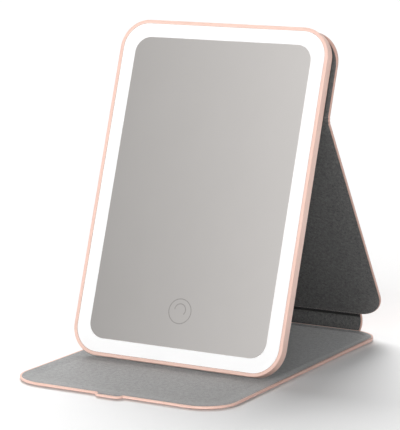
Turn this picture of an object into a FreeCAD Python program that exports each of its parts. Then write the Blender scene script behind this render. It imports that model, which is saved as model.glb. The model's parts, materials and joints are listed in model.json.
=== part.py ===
import FreeCAD
import Part
import math
import os
from collections import namedtuple

# Lighted tabletop mirror that stands in its own folding cover, in millimetres.
# The mirror body leans back on the base panel, and the prop panel behind it hangs from a crease in the cover.
# The origin is the centre of the base panel's underside, +Z is up and -Y is the side that the mirror faces.

# Mirror body
body_width = 148.0
body_height = 220.0
body_corner = 19.0
body_depth = 9.6
mirror_lean = 17.6
foot_gap = 0.15

# Front frame
frame_depth = 7.4
frame_wall = 1.4
rim_width = 2.4
lip_thickness = 0.6
rim_round = 0.8
lip_bevel = 0.5
foot_ease = 0.4

# Glass, lit border and touch sensor
border_width = 8.9
glass_corner = 10.5
glass_thickness = 2.0
glass_bevel = 0.15
diffuser_thickness = 2.0
glass_tape_thickness = 0.4
glass_tape_inset = 3.0
touch_height = 34.5
electrode_size = 14.0
electrode_thickness = 0.1
contact_size = 6.0

# Light engine and inner tray
tray_wall = 1.0
tray_floor = 0.8
platform_inset = 1.0
light_gap = 1.1
led_board_thickness = 0.8
led_width = 2.8
led_length = 3.5
led_height = 0.7
led_pitch = 11.0
led_pin_size = 0.64
led_pin_margin = 2.0

# Closure of the housing: screws at its foot and hooks at its top
screw_margin_side = 22.0
screw_margin_end = 18.0
boss_radius = 2.2
screw_radius = 0.8
screw_length = 3.0
screw_head_radius = 1.7
screw_head_height = 0.8
screw_head_recess = 1.0
hook_width = 12.0
hook_stem = 1.2
hook_thickness = 0.8
hook_sill = 0.5
hook_spread = 24.0

# Rear shell
shell_inset = 2.5
shell_floor = 1.2
shell_wall = 1.2
shell_rim = 5.0
shell_taper = 0.8
shell_ease = 0.6
shell_ribs = 3
rib_thickness = 1.0
rib_height = 1.1
rib_end_gap = 4.0

# Control board, charging port and battery
port_lift = 5.5
port_width = 8.94
port_thickness = 3.2
port_length = 7.3
port_wall = 0.3
port_corner = 1.2
port_set_in = 0.3
port_mouth_gap = 0.2
port_bay_width = 12.0
tongue_width = 6.7
tongue_thickness = 0.7
tongue_length = 5.0
board_thickness = 0.8
board_height = 28.0
board_past_touch = 14.0
chip_height = 1.4
chip_length = 6.0
chip_width = 5.0
chip_pitch = 11.0
chip_count = 3
socket_width = 6.0
socket_length = 4.5
socket_height = 1.6
battery_width = 50.0
battery_height = 76.0
battery_thickness = 3.9
battery_round = 1.2
battery_tape_thickness = 0.2
battery_tape_inset = 6.0
battery_lift = 18.0
wire_radius = 0.5
wire_pitch = 2.0

# Folding cover
cover_overhang = 2.75
cover_corner = 19.0
leather_thickness = 0.7
stiffener_thickness = 0.8
lining_thickness = 0.6
leather_border = 0.7
leather_ease = 0.35
press_line_inset = 2.2
press_line_width = 0.7
press_line_depth = 0.25
fold_gap = 1.6
prop_edge_gap = 3.4
fold_clearance = 0.15
cover_tape_thickness = 0.3
cover_tape_inset = 5.0
strip_drop = 0.1
strip_length = 55.6
shut_foot_margin = 13.9
shut_top_margin = 4.2
spine_lean = 3.0
spine_span_share = 0.91
base_set_in = 0.25
base_front_corner = 23.0
tab_width = 18.0
tab_reach = 4.0
tab_corner = 3.4

# Magnets that hold the shut cover to the mirror
magnet_length = 24.0
magnet_width = 5.0
frame_magnet_thickness = 1.2
magnet_spread = 70.0
magnet_drop = 11.0

# Fits
fit_gap = 0.1
cut_overrun = 1.0
tolerance = 1e-4

# Levels inside the mirror body, measured from its front face towards the rear
sheet = leather_thickness + stiffener_thickness + lining_thickness
diffuser_rear = -lip_thickness - diffuser_thickness
glass_rear = -lip_thickness - glass_thickness
platform_top = glass_rear - glass_tape_thickness
platform_rear = platform_top - tray_wall
channel_top = diffuser_rear - light_gap - led_height - led_board_thickness
tray_rear = channel_top - tray_floor
shell_inside = -body_depth + shell_floor
control_board_top = tray_rear - fit_gap
control_board_rear = control_board_top - board_thickness
port_level = control_board_top + port_thickness / 2
port_height = touch_height + port_lift
boss_end = shell_inside + fit_gap

Outline = namedtuple("Outline", "width low high low_corner high_corner")


def vec(x, y, z=0):
    return FreeCAD.Vector(x, y, z)


def inset(outline, distance):
    """The outline moved inwards by a distance, or outwards by a negative one."""
    return Outline(
        outline.width - 2 * distance,
        outline.low + distance,
        outline.high - distance,
        max(outline.low_corner - distance, 0),
        max(outline.high_corner - distance, 0),
    )


def outline_wire(outline, level=0):
    """A closed rectangle, symmetric in X, with one corner radius at its low end and one at its high end."""
    half = outline.width / 2
    corners = (
        (half, outline.low, outline.low_corner, -90),
        (half, outline.high, outline.high_corner, 0),
        (-half, outline.high, outline.high_corner, 90),
        (-half, outline.low, outline.low_corner, 180),
    )
    edges = []
    ends = []
    for x, y, radius, start in corners:
        centre = vec(x - math.copysign(radius, x), y + (radius if y == outline.low else -radius), level)
        points = []
        for turn in (0, 45, 90):
            angle = math.radians(start + turn)
            points.append(centre + vec(radius * math.cos(angle), radius * math.sin(angle)))
        ends.append((points[0], points[2]))
        edges.append(Part.Arc(*points).toShape() if radius > tolerance else None)
    loop = []
    for index, arc in enumerate(edges):
        if arc is not None:
            loop.append(arc)
        leave = ends[index][1]
        arrive = ends[(index + 1) % len(ends)][0]
        loop.append(Part.LineSegment(leave, arrive).toShape())
    return Part.Wire(loop)


def slab(outline, low, high):
    """The outline as a plate between two levels."""
    return Part.Face(outline_wire(outline, low)).extrude(vec(0, 0, high - low))


def block(width, length, low, high, centre_x, centre_y):
    """A rectangular block between two levels, centred on a point."""
    corner = vec(centre_x - width / 2, centre_y - length / 2, low)
    return Part.makeBox(width, length, high - low, corner)


def post(radius, low, high, x, y):
    """A round post between two levels."""
    return Part.makeCylinder(radius, high - low, vec(x, y, low))


def edges_on(shape, outline, level):
    """The edges of a shape that lie on an outline at a level."""
    wire = outline_wire(outline, level)
    found = []
    for edge in shape.Edges:
        middle = edge.valueAt((edge.FirstParameter + edge.LastParameter) / 2)
        points = [vertex.Point for vertex in edge.Vertexes] + [middle]
        if all(wire.distToShape(Part.Vertex(point))[0] < tolerance for point in points):
            found.append(edge)
    return found


def upright(edge):
    """Whether an edge runs along Z."""
    return edge.BoundBox.ZLength > max(edge.BoundBox.XLength, edge.BoundBox.YLength)


def group(shapes):
    """Separate solids kept together under one name."""
    return Part.makeCompound([solid for shape in shapes for solid in shape.Solids])


def fused(first, others):
    """One solid made of pieces that meet."""
    return first.multiFuse(others).removeSplitter()


# Outlines shared by the pieces of the mirror body
body = Outline(body_width, 0, body_height, body_corner, body_corner)
rim_opening = inset(body, rim_width)
frame_bore = inset(body, frame_wall)
seat = inset(body, frame_wall + fit_gap)
glass = inset(rim_opening, border_width)._replace(low_corner=glass_corner, high_corner=glass_corner)
platform = inset(glass, platform_inset)
pocket = inset(platform, tray_wall)
channel = inset(seat, tray_wall)

# Places shared by more than one piece
port_side = -body_width / 2
port_bay_inner = -pocket.width / 2
shell_outline = inset(body, shell_inset)
board_left = -shell_outline.width / 2 + shell_wall + fit_gap
board_right = board_past_touch
board_low = touch_height - board_height / 2
board_centre_x = (board_left + board_right) / 2
battery_low = board_low + board_height + battery_lift
led_inset = (frame_wall + fit_gap + tray_wall + rim_width + border_width + platform_inset) / 2
screw_side = body_width / 2 - screw_margin_side
screw_places = [(side * screw_side, screw_margin_end) for side in (-1, 1)]
hook_places = [side * hook_spread / 2 for side in (-1, 1)]
hook_low = tray_rear + hook_sill
hook_high = hook_low + hook_thickness
hook_foot = pocket.high - fit_gap - hook_stem
pin_rows = [port_height + side * (port_bay_width / 2 + led_pin_margin) for side in (-1, 1)]
pin_x = -body_width / 2 + led_inset
magnet_places = [(side * magnet_spread / 2, body_height - magnet_drop) for side in (-1, 1)]


def port_bay(low, high):
    """The cut that clears the charging port through the parts round the edge."""
    outer = port_side - cut_overrun
    width = port_bay_inner + cut_overrun - outer
    return block(width, port_bay_width, low, high, outer + width / 2, port_height)


def port_section(gap):
    """The charging port's rounded section, grown by a gap, as an outline across X and a height."""
    half = port_thickness / 2 + gap
    return Outline(port_width + 2 * gap, -half, half, port_corner + gap, port_corner + gap)


def port_prism(gap, start, length):
    """The port's section swept inwards from a distance behind the side face."""
    face = Part.Face(outline_wire(port_section(gap)))
    prism = face.extrude(vec(0, 0, length))
    turn = FreeCAD.Rotation(vec(0, 1, 0), vec(0, 0, 1), vec(1, 0, 0), "ZXY")
    prism.Placement = FreeCAD.Placement(vec(port_side + start, port_height, port_level), turn)
    return prism


def front_frame():
    """Moulded frame: a thin rim in front, a deeper wall round the side and a slot for the charging port."""
    shape = slab(body, -frame_depth, 0)
    shape = shape.cut(slab(rim_opening, -frame_depth - cut_overrun, cut_overrun))
    shape = shape.cut(slab(frame_bore, -frame_depth - cut_overrun, -lip_thickness))
    shape = shape.makeFillet(rim_round, edges_on(shape, body, 0))
    shape = shape.makeChamfer(lip_bevel, edges_on(shape, rim_opening, 0))
    shape = shape.makeChamfer(foot_ease, edges_on(shape, body, -frame_depth))
    slot = port_prism(port_mouth_gap, -cut_overrun, frame_wall + 2 * cut_overrun)
    return shape.cut(slot)


def light_diffuser():
    """Opal ring behind the rim, open in the middle for the glass."""
    ring = slab(seat, diffuser_rear, -lip_thickness)
    return ring.cut(slab(inset(glass, -fit_gap), diffuser_rear - cut_overrun, cut_overrun))


def mirror_glass():
    """Silvered pane with a fine bevel round its face."""
    shape = slab(glass, glass_rear, -lip_thickness)
    return shape.makeChamfer(glass_bevel, edges_on(shape, glass, -lip_thickness))


def glass_tape():
    """Foam tape that bonds the glass to the tray, open round the touch electrode."""
    shape = slab(inset(glass, glass_tape_inset), platform_top, glass_rear)
    opening = electrode_size + 2 * fit_gap
    return shape.cut(block(opening, opening, platform_top, glass_rear, 0, touch_height))


def touch_electrode():
    """Copper foil on the back of the glass, where a finger switches the light."""
    rear = glass_rear - electrode_thickness
    return block(electrode_size, electrode_size, rear, glass_rear, 0, touch_height)


def touch_contact():
    """Conductive foam between the control board and the electrode."""
    top = glass_rear - electrode_thickness
    return block(contact_size, contact_size, control_board_top, top, 0, touch_height)


def hook_tongues(gap):
    """The tongues of the rear shell's hooks, grown by a gap, to the outer face of the platform's wall."""
    tip = platform.high - fit_gap + gap
    width = hook_width + 2 * gap
    middle = (hook_foot + tip) / 2
    return [block(width, tip - hook_foot, hook_low - gap, hook_high + gap, x, middle) for x in hook_places]


def inner_tray():
    """White tray: a raised platform for the glass, a channel for the lights, screw bosses and hook slots."""
    shape = slab(seat, tray_rear, diffuser_rear)
    shape = shape.cut(slab(channel, channel_top, diffuser_rear + cut_overrun))
    shape = shape.fuse(slab(platform, tray_rear, platform_top))
    shape = shape.cut(slab(pocket, tray_rear - cut_overrun, platform_rear))
    bosses = [post(boss_radius, boss_end, platform_rear, x, y) for x, y in screw_places]
    shape = fused(shape, bosses)
    hole_top = boss_end + screw_length
    holes = [post(screw_radius + fit_gap, boss_end - cut_overrun, hole_top, x, y) for x, y in screw_places]
    opening = contact_size + 2 * fit_gap
    holes.append(block(opening, opening, platform_rear - cut_overrun, cut_overrun, 0, touch_height))
    hole = led_pin_size + 2 * fit_gap
    low = tray_rear - cut_overrun
    holes += [block(hole, hole, low, channel_top + cut_overrun, pin_x, y) for y in pin_rows]
    holes += hook_tongues(fit_gap)
    holes.append(port_bay(tray_rear - cut_overrun, diffuser_rear + cut_overrun))
    return shape.cut(group(holes))


def led_board():
    """Ring-shaped circuit board on the floor of the tray's channel."""
    top = channel_top + led_board_thickness
    ring = slab(inset(channel, fit_gap), channel_top, top)
    ring = ring.cut(slab(inset(platform, -fit_gap), channel_top - cut_overrun, top + cut_overrun))
    return ring.cut(port_bay(channel_top - cut_overrun, top + cut_overrun))


def led_run(length):
    """Evenly spaced places along one side of the ring, as distances from its middle."""
    count = int(length // led_pitch)
    return [(index - (count - 1) / 2) * led_pitch for index in range(count)]


def leds():
    """Light-emitting chips along the four sides of the ring board."""
    low = channel_top + led_board_thickness
    line = inset(body, led_inset)
    middle = (line.low + line.high) / 2
    chips = []
    for along in led_run(line.width - 2 * body_corner + 2 * led_inset):
        for y in (line.low, line.high):
            chips.append(block(led_length, led_width, low, low + led_height, along, y))
    bay_half = (port_bay_width + led_length) / 2 + fit_gap
    for along in led_run(line.high - line.low - 2 * body_corner + 2 * led_inset):
        y = middle + along
        for x in (-line.width / 2, line.width / 2):
            if x > 0 or abs(y - port_height) > bay_half:
                chips.append(block(led_width, led_length, low, low + led_height, x, y))
    return group(chips)


def led_pins():
    """Two pins that feed the ring board from the control board."""
    pins = [block(led_pin_size, led_pin_size, control_board_top, channel_top, pin_x, y) for y in pin_rows]
    return group(pins)


def control_board():
    """Circuit board under the tray, from the charging port to the touch sensor, notched round the screws."""
    board = block(board_right - board_left, board_height, control_board_rear, control_board_top,
                  board_centre_x, touch_height)
    notch = boss_radius + fit_gap
    return board.cut(group([
        post(notch, control_board_rear - cut_overrun, control_board_top + cut_overrun, x, y)
        for x, y in screw_places
    ]))


def board_parts():
    """Chips and the battery socket on the control board."""
    first = board_centre_x - (chip_count - 1) * chip_pitch / 2
    top = control_board_top + chip_height
    parts = [
        block(chip_length, chip_width, control_board_top, top, first + index * chip_pitch, touch_height)
        for index in range(chip_count)
    ]
    socket_y = board_low + board_height - socket_length / 2
    socket_top = control_board_top + socket_height
    parts.append(block(socket_width, socket_length, control_board_top, socket_top, 0, socket_y))
    return group(parts)


def charging_port():
    """Metal receptacle with a closed back and a contact tongue inside."""
    shell = port_prism(0, port_set_in, port_length)
    bore_length = port_length - port_wall + cut_overrun
    shell = shell.cut(port_prism(-port_wall, port_set_in - cut_overrun, bore_length))
    back = port_side + port_set_in + port_length - port_wall
    half = tongue_thickness / 2
    tongue = block(tongue_length, tongue_width, port_level - half, port_level + half,
                   back - tongue_length / 2, port_height)
    return fused(shell, [tongue])


def battery():
    """Flat pouch cell."""
    front = platform_rear - battery_tape_thickness
    middle = battery_low + battery_height / 2
    cell = block(battery_width, battery_height, front - battery_thickness, front, 0, middle)
    return cell.makeFillet(battery_round, [edge for edge in cell.Edges if upright(edge)])


def battery_tape():
    """Adhesive between the cell and the tray."""
    low = battery_low + battery_tape_inset
    high = battery_low + battery_height - battery_tape_inset
    strip = Outline(battery_width - 2 * battery_tape_inset, low, high, 0, 0)
    return slab(strip, platform_rear - battery_tape_thickness, platform_rear)


def battery_lead():
    """Two wires from the cell to the socket."""
    level = control_board_top + socket_height / 2
    start = board_low + board_height
    wires = []
    for side in (-1, 1):
        x = side * wire_pitch / 2
        wires.append(Part.makeCylinder(wire_radius, battery_low - start, vec(x, start, level), vec(0, 1, 0)))
    return group(wires)


def rear_shell():
    """Back of the housing: a shallow tapered pan set in from the frame, with hooks and ribs inside."""
    plug = slab(seat, -frame_depth, tray_rear)
    rear_outline = inset(shell_outline, shell_taper)
    sections = [outline_wire(shell_outline, -frame_depth), outline_wire(rear_outline, -body_depth)]
    shape = plug.fuse(Part.makeLoft(sections, True, True)).removeSplitter()
    shape = shape.makeChamfer(shell_ease, edges_on(shape, rear_outline, -body_depth))
    cavity = inset(shell_outline, shell_rim)
    shape = shape.cut(slab(cavity, shell_inside, tray_rear + cut_overrun))
    bay_left = board_left - fit_gap
    bay_width = board_right - bay_left
    bay = block(bay_width, board_height + 2 * fit_gap, shell_inside, tray_rear + cut_overrun,
                bay_left + bay_width / 2, touch_height)
    shape = shape.cut(bay)
    shape = shape.cut(port_bay(control_board_top - fit_gap, tray_rear + cut_overrun))
    stem_middle = hook_foot + hook_stem / 2
    raised = [block(hook_width, hook_stem, shell_inside, hook_high, x, stem_middle) for x in hook_places]
    raised += hook_tongues(0)
    rib_width = 2 * (screw_side - boss_radius) - 2 * rib_end_gap
    battery_top = battery_low + battery_height
    rib_pitch = (cavity.high - battery_top) / (shell_ribs + 1)
    for index in range(shell_ribs):
        y = battery_top + (index + 1) * rib_pitch
        raised.append(block(rib_width, rib_thickness, shell_inside, shell_inside + rib_height, 0, y))
    shape = fused(shape, raised)
    holes = []
    for x, y in screw_places:
        holes.append(post(screw_radius + fit_gap, -body_depth, boss_end, x, y))
        head_top = -body_depth + screw_head_recess
        holes.append(post(screw_head_radius + fit_gap, -body_depth - cut_overrun, head_top, x, y))
    return shape.cut(group(holes))


def shell_screws():
    """Pan-head screws from the rear shell into the tray's bosses."""
    head_top = -body_depth + screw_head_recess
    screws = []
    for x, y in screw_places:
        head = post(screw_head_radius, head_top - screw_head_height, head_top, x, y)
        shank = post(screw_radius, head_top, boss_end + screw_length - fit_gap, x, y)
        screws.append(head.fuse(shank).removeSplitter())
    return group(screws)


def frame_magnets():
    """Bar magnets on the floor of the rear shell, near its top edge."""
    top = shell_inside + frame_magnet_thickness
    return group([block(magnet_length, magnet_width, shell_inside, top, x, y) for x, y in magnet_places])


# Folding cover: each panel lies in its own frame, with a fold line or its middle on X, its length along Y,
# its lining on the +Z side and the middle of its leather at Z = 0, where the fold lines run.
leather_half = leather_thickness / 2
lining_low = leather_half + stiffener_thickness
sheet_top = lining_low + lining_thickness
fold_edge = leather_half + fold_clearance
shut_stack = body_depth + cover_tape_thickness + 2 * sheet_top
spine_span = shut_stack * spine_span_share
cover_width = body_width + 2 * cover_overhang
base_width = body_width - 2 * base_set_in
spine_width = cover_width - 2 * cover_corner
crease_height = body_height - strip_drop - strip_length
prop_length = crease_height + shut_foot_margin
base_depth = shut_foot_margin + body_height + shut_top_margin - fold_gap
base_outline = Outline(base_width, -base_depth / 2, base_depth / 2, base_front_corner, cover_corner)
prop_outline = Outline(cover_width, prop_edge_gap, prop_length - fold_gap, cover_corner, 0)
strip_outline = Outline(cover_width, fold_gap, strip_length, 0, cover_corner)


def recess(outline, distance, open_low, open_high):
    """The outline inside the leather border, carried to the edge at an end that has a crease."""
    low = outline.low if open_low else outline.low + distance
    high = outline.high if open_high else outline.high - distance
    return inset(outline, distance)._replace(low=low, high=high)


def tab_slab(distance, low, high):
    """The pull tab in the middle of the base's front edge, moved inwards by a distance."""
    front = base_outline.low - tab_reach + distance
    tab = Outline(tab_width - 2 * distance, front, base_outline.low + base_front_corner, tab_corner, 0)
    return slab(tab, low, high)


def press_line(outline):
    """The shallow line that is pressed into a lining, parallel to its edge."""
    low = sheet_top - press_line_depth
    ring = slab(inset(outline, press_line_inset), low, sheet_top + cut_overrun)
    inside = inset(outline, press_line_inset + press_line_width)
    return ring.cut(slab(inside, low - cut_overrun, sheet_top + 2 * cut_overrun))


def edges_at_level(shape, level):
    """The edges of a plate that lie in one of its two faces."""
    return [
        edge for edge in shape.Edges
        if abs(edge.BoundBox.ZMin - level) < tolerance and abs(edge.BoundBox.ZMax - level) < tolerance
    ]


def fold_flap(width, edge, axis):
    """The thin leather between a panel's stiff edge and the fold line beside it."""
    reach = axis - math.copysign(fold_edge, axis - edge)
    start = edge - math.copysign(leather_border, axis - edge)
    return slab(Outline(width, min(start, reach), max(start, reach), 0, 0), -leather_half, leather_half)


def cover_leather(outline, open_low, open_high, tab, flaps):
    """Outer leather of a panel: a thin back with a border that turns up round the stiffener and lining."""
    shape = slab(outline, -leather_half, sheet_top)
    hollow = slab(recess(outline, leather_border, open_low, open_high), leather_half, sheet_top + cut_overrun)
    if tab:
        shape = shape.fuse(tab_slab(0, -leather_half, sheet_top)).removeSplitter()
        hollow = hollow.fuse(tab_slab(leather_border, leather_half, sheet_top + cut_overrun)).removeSplitter()
    ends = [outline.low] * open_low + [outline.high] * open_high
    eased = []
    for edge in edges_at_level(shape, -leather_half) + edges_at_level(shape, sheet_top):
        if not any(abs(edge.BoundBox.YMin - y) + abs(edge.BoundBox.YMax - y) < tolerance for y in ends):
            eased.append(edge)
    shape = shape.makeChamfer(leather_ease, eased)
    return fused(shape.cut(hollow), flaps)


def cover_stiffener(outline, open_low, open_high):
    """Stiff board inside a panel."""
    return slab(recess(outline, leather_border + fit_gap, open_low, open_high), leather_half, lining_low)


def cover_lining(outline, open_low, open_high, tab):
    """Lining of a panel, flush with the leather border."""
    flat = recess(outline, leather_border + fit_gap, open_low, open_high)
    shape = slab(flat, lining_low, sheet_top)
    if tab:
        shape = shape.fuse(tab_slab(leather_border + fit_gap, lining_low, sheet_top)).removeSplitter()
    return shape.cut(press_line(flat))


def base_stiffener():
    """The base panel's board, with pockets for the magnets."""
    board = cover_stiffener(base_outline, False, False)
    pockets = [
        block(magnet_length + 2 * fit_gap, magnet_width + 2 * fit_gap, leather_half, lining_low, x, y)
        for x, y in base_magnet_places
    ]
    return board.cut(group(pockets))


def base_magnets():
    """Bar magnets in the base panel's board, under the frame's magnets when the cover is shut."""
    bars = [
        block(magnet_length, magnet_width, leather_half, lining_low, x, y) for x, y in base_magnet_places
    ]
    return group(bars)


def fold(width):
    """The rolled leather of a fold line, round about its axis."""
    return Part.makeCylinder(leather_half, width, vec(-width / 2, 0, 0), vec(1, 0, 0))


# The spine is as long as the shut cover is thick, so it bows outwards while its ends stand closer together
bow_share = 3.0 / 8.0
spine_chord = spine_span - 2 * fold_edge
spine_bow = math.sqrt(bow_share * spine_chord * (shut_stack - spine_span))
spine_radius = (spine_chord ** 2 / 4 + spine_bow ** 2) / (2 * spine_bow)


def spine_strip(inner, outer, end_gap):
    """A bowed strip of the spine between two radii, ending at a distance from both fold lines."""
    half_angle = math.asin((spine_span / 2 - end_gap) / spine_radius)
    centre = vec(-spine_width / 2, spine_span / 2, spine_radius - spine_bow)

    def at(radius, angle):
        return centre + vec(0, radius * math.sin(angle), -radius * math.cos(angle))

    edges = [
        Part.Arc(at(outer, -half_angle), at(outer, 0), at(outer, half_angle)).toShape(),
        Part.LineSegment(at(outer, half_angle), at(inner, half_angle)).toShape(),
        Part.Arc(at(inner, half_angle), at(inner, 0), at(inner, -half_angle)).toShape(),
        Part.LineSegment(at(inner, -half_angle), at(outer, -half_angle)).toShape(),
    ]
    return Part.Face(Part.Wire(edges)).extrude(vec(spine_width, 0, 0))


def cover_tape():
    """Adhesive sheet between the rear shell and the cover's top strip."""
    face = inset(shell_outline, shell_taper + shell_ease)
    low = crease_height + cover_tape_inset
    sheet_outline = inset(face, cover_tape_inset)._replace(low=low, low_corner=0)
    return slab(sheet_outline, -body_depth - cover_tape_thickness, -body_depth)


# Standing pose: the foot of the frame rests on the base, and the prop panel closes the triangle behind it
lean = math.radians(90.0 - mirror_lean)
crease_depth = -body_depth - cover_tape_thickness - sheet_top
foot_drop = min(
    -frame_depth * math.cos(lean) + foot_ease * math.sin(lean),
    -(frame_depth - foot_ease) * math.cos(lean),
)
body_z = sheet + foot_gap - foot_drop
spine_angle = math.radians(90.0 - spine_lean)
spine_hinge_y = base_depth / 2 + fold_gap
spine_hinge_z = leather_half
prop_hinge_y = spine_hinge_y + spine_span * math.cos(spine_angle)
prop_hinge_z = spine_hinge_z + spine_span * math.sin(spine_angle)
crease_z = body_z + crease_height * math.sin(lean) + crease_depth * math.cos(lean)
crease_y = prop_hinge_y - math.sqrt(prop_length ** 2 - (crease_z - prop_hinge_z) ** 2)
body_y = crease_y - crease_height * math.cos(lean) + crease_depth * math.sin(lean)
prop_slope = math.atan2(crease_z - prop_hinge_z, prop_hinge_y - crease_y)
shut_magnet_reach = prop_length + body_height - magnet_drop - crease_height
base_magnet_places = [(side * magnet_spread / 2, spine_hinge_y - shut_magnet_reach) for side in (-1, 1)]


def frame_at(y, z, angle):
    """A local frame that is turned about X and set down at a point of the middle plane."""
    return FreeCAD.Placement(vec(0, y, z), FreeCAD.Rotation(vec(1, 0, 0), math.degrees(angle)))


base_frame = frame_at(0, leather_half, 0)
base_rear_frame = frame_at(spine_hinge_y, spine_hinge_z, 0)
spine_frame = frame_at(spine_hinge_y, spine_hinge_z, spine_angle)
prop_frame = frame_at(prop_hinge_y, prop_hinge_z, math.pi - prop_slope)
strip_frame = frame_at(crease_y, crease_z, lean)
body_frame = frame_at(body_y, body_z, lean)

strip_flap = fold_flap(cover_width, strip_outline.low, 0)
prop_flaps = [
    fold_flap(cover_width, prop_outline.high, prop_length),
    fold_flap(spine_width, prop_outline.low, 0),
]
base_flap = fold_flap(spine_width, base_outline.high, spine_hinge_y)
spine_outer = spine_radius + leather_half
spine_middle = spine_radius - leather_half
spine_inner = spine_middle - lining_thickness

nodes = {
    "front_frame": (front_frame(), body_frame),
    "light_diffuser": (light_diffuser(), body_frame),
    "mirror_glass": (mirror_glass(), body_frame),
    "glass_tape": (glass_tape(), body_frame),
    "touch_electrode": (touch_electrode(), body_frame),
    "touch_contact": (touch_contact(), body_frame),
    "inner_tray": (inner_tray(), body_frame),
    "led_board": (led_board(), body_frame),
    "leds": (leds(), body_frame),
    "led_pins": (led_pins(), body_frame),
    "control_board": (control_board(), body_frame),
    "board_parts": (board_parts(), body_frame),
    "charging_port": (charging_port(), body_frame),
    "battery": (battery(), body_frame),
    "battery_tape": (battery_tape(), body_frame),
    "battery_lead": (battery_lead(), body_frame),
    "rear_shell": (rear_shell(), body_frame),
    "shell_screws": (shell_screws(), body_frame),
    "frame_magnets": (frame_magnets(), body_frame),
    "cover_tape": (cover_tape(), body_frame),
    "strip_leather": (cover_leather(strip_outline, True, False, False, [strip_flap]), strip_frame),
    "strip_stiffener": (cover_stiffener(strip_outline, True, False), strip_frame),
    "strip_lining": (cover_lining(strip_outline, True, False, False), strip_frame),
    "crease_fold": (fold(cover_width), strip_frame),
    "prop_leather": (cover_leather(prop_outline, False, True, False, prop_flaps), prop_frame),
    "prop_stiffener": (cover_stiffener(prop_outline, False, True), prop_frame),
    "prop_lining": (cover_lining(prop_outline, False, True, False), prop_frame),
    "prop_fold": (fold(spine_width), prop_frame),
    "spine_leather": (spine_strip(spine_middle, spine_outer, fold_edge), spine_frame),
    "spine_lining": (spine_strip(spine_inner, spine_middle, fold_gap), spine_frame),
    "base_fold": (fold(spine_width), base_rear_frame),
    "base_leather": (cover_leather(base_outline, False, False, True, [base_flap]), base_frame),
    "base_stiffener": (base_stiffener(), base_frame),
    "base_lining": (cover_lining(base_outline, False, False, True), base_frame),
    "base_magnets": (base_magnets(), base_frame),
}

os.makedirs("parts", exist_ok=True)
for name, (shape, frame) in nodes.items():
    shape.Placement = frame.multiply(shape.Placement)
    shape.exportStep("parts/" + name + ".step")

print("body frame", round(body_y, 3), round(body_z, 3), "lean", mirror_lean)
print("spine hinge", round(spine_hinge_y, 3), round(spine_hinge_z, 3))
print("prop hinge", round(prop_hinge_y, 3), round(prop_hinge_z, 3))
print("prop slope", round(math.degrees(prop_slope), 3))
print("crease hinge", round(crease_y, 3), round(crease_z, 3))
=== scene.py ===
import json
import math
import bmesh
import bpy
from mathutils import Matrix, Vector


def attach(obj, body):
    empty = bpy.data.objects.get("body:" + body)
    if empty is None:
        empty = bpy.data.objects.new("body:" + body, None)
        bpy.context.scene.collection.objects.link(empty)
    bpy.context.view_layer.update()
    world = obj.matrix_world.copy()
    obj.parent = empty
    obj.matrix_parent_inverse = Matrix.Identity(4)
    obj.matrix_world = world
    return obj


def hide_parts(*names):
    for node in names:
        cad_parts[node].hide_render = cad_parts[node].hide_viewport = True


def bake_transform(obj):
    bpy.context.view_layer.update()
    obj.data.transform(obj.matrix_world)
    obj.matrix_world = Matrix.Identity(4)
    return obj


# Lighted tabletop mirror that stands in its folding cover, in metres, in the frame of its solids
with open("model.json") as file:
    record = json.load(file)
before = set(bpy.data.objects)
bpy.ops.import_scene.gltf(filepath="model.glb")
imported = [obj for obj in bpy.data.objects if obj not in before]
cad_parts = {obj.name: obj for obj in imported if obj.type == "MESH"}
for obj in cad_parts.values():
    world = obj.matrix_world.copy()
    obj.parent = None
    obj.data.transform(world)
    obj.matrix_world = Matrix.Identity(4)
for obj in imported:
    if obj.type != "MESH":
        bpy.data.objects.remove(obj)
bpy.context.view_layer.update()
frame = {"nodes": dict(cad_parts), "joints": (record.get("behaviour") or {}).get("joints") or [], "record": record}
nodes = frame["nodes"]
scene = bpy.context.scene
toRight, toRear, upward = Vector((1, 0, 0)), Vector((0, 1, 0)), Vector((0, 0, 1))
print("frame loaded,", len(nodes), "nodes")


# Places of the panels, taken from the hinges and from the glass
def hingeAt(name):
    return Vector(next(joint["pos_m"] for joint in frame["joints"] if joint["name"] == name))


def placeOn(origin, along):  # X across a panel, Y along it, Z out of its lining or glass
    up = along.normalized()
    place = Matrix((toRight, up, toRight.cross(up))).transposed().to_4x4()
    place.translation = origin
    return place


def alongOf(place):
    return place.to_3x3().col[1].copy()


def outOf(place):
    return place.to_3x3().col[2].copy()


def spanIn(place, name):  # lowest and highest corner of a node in a place's own axes
    inverse = place.inverted()
    points = [inverse @ vertex.co for vertex in nodes[name].data.vertices]
    low = Vector([min(point[axis] for point in points) for axis in range(3)])
    high = Vector([max(point[axis] for point in points) for axis in range(3)])
    return low, high


def mirrorAxes():
    faces = [face for face in nodes["mirror_glass"].data.polygons if face.normal.y < 0]
    facing = max(faces, key=lambda face: face.area).normal
    up = Vector((0, facing.z, -facing.y))
    level = placeOn(Vector(), up)
    low, high = spanIn(level, "front_frame")
    return placeOn(level @ Vector((0, low.y, high.z)), up)


baseHinge = hingeAt("cover_open")
propHinge = hingeAt("prop_turn")
creaseHinge = hingeAt("stand_fold")
mirrorPlace = mirrorAxes()
mirrorUp = alongOf(mirrorPlace)
basePlace = placeOn(Vector((0, 0, baseHinge.z)), toRear)
spinePlace = placeOn(baseHinge, propHinge - baseHinge)
propPlace = placeOn(propHinge, creaseHinge - propHinge)
stripPlace = placeOn(creaseHinge, mirrorUp)
spineUp, propUp = alongOf(spinePlace), alongOf(propPlace)
propOut, stripOut = outOf(propPlace), outOf(stripPlace)
print("places found, mirror leans", round(math.degrees(math.asin(mirrorUp.y)), 2), "degrees")

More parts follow.
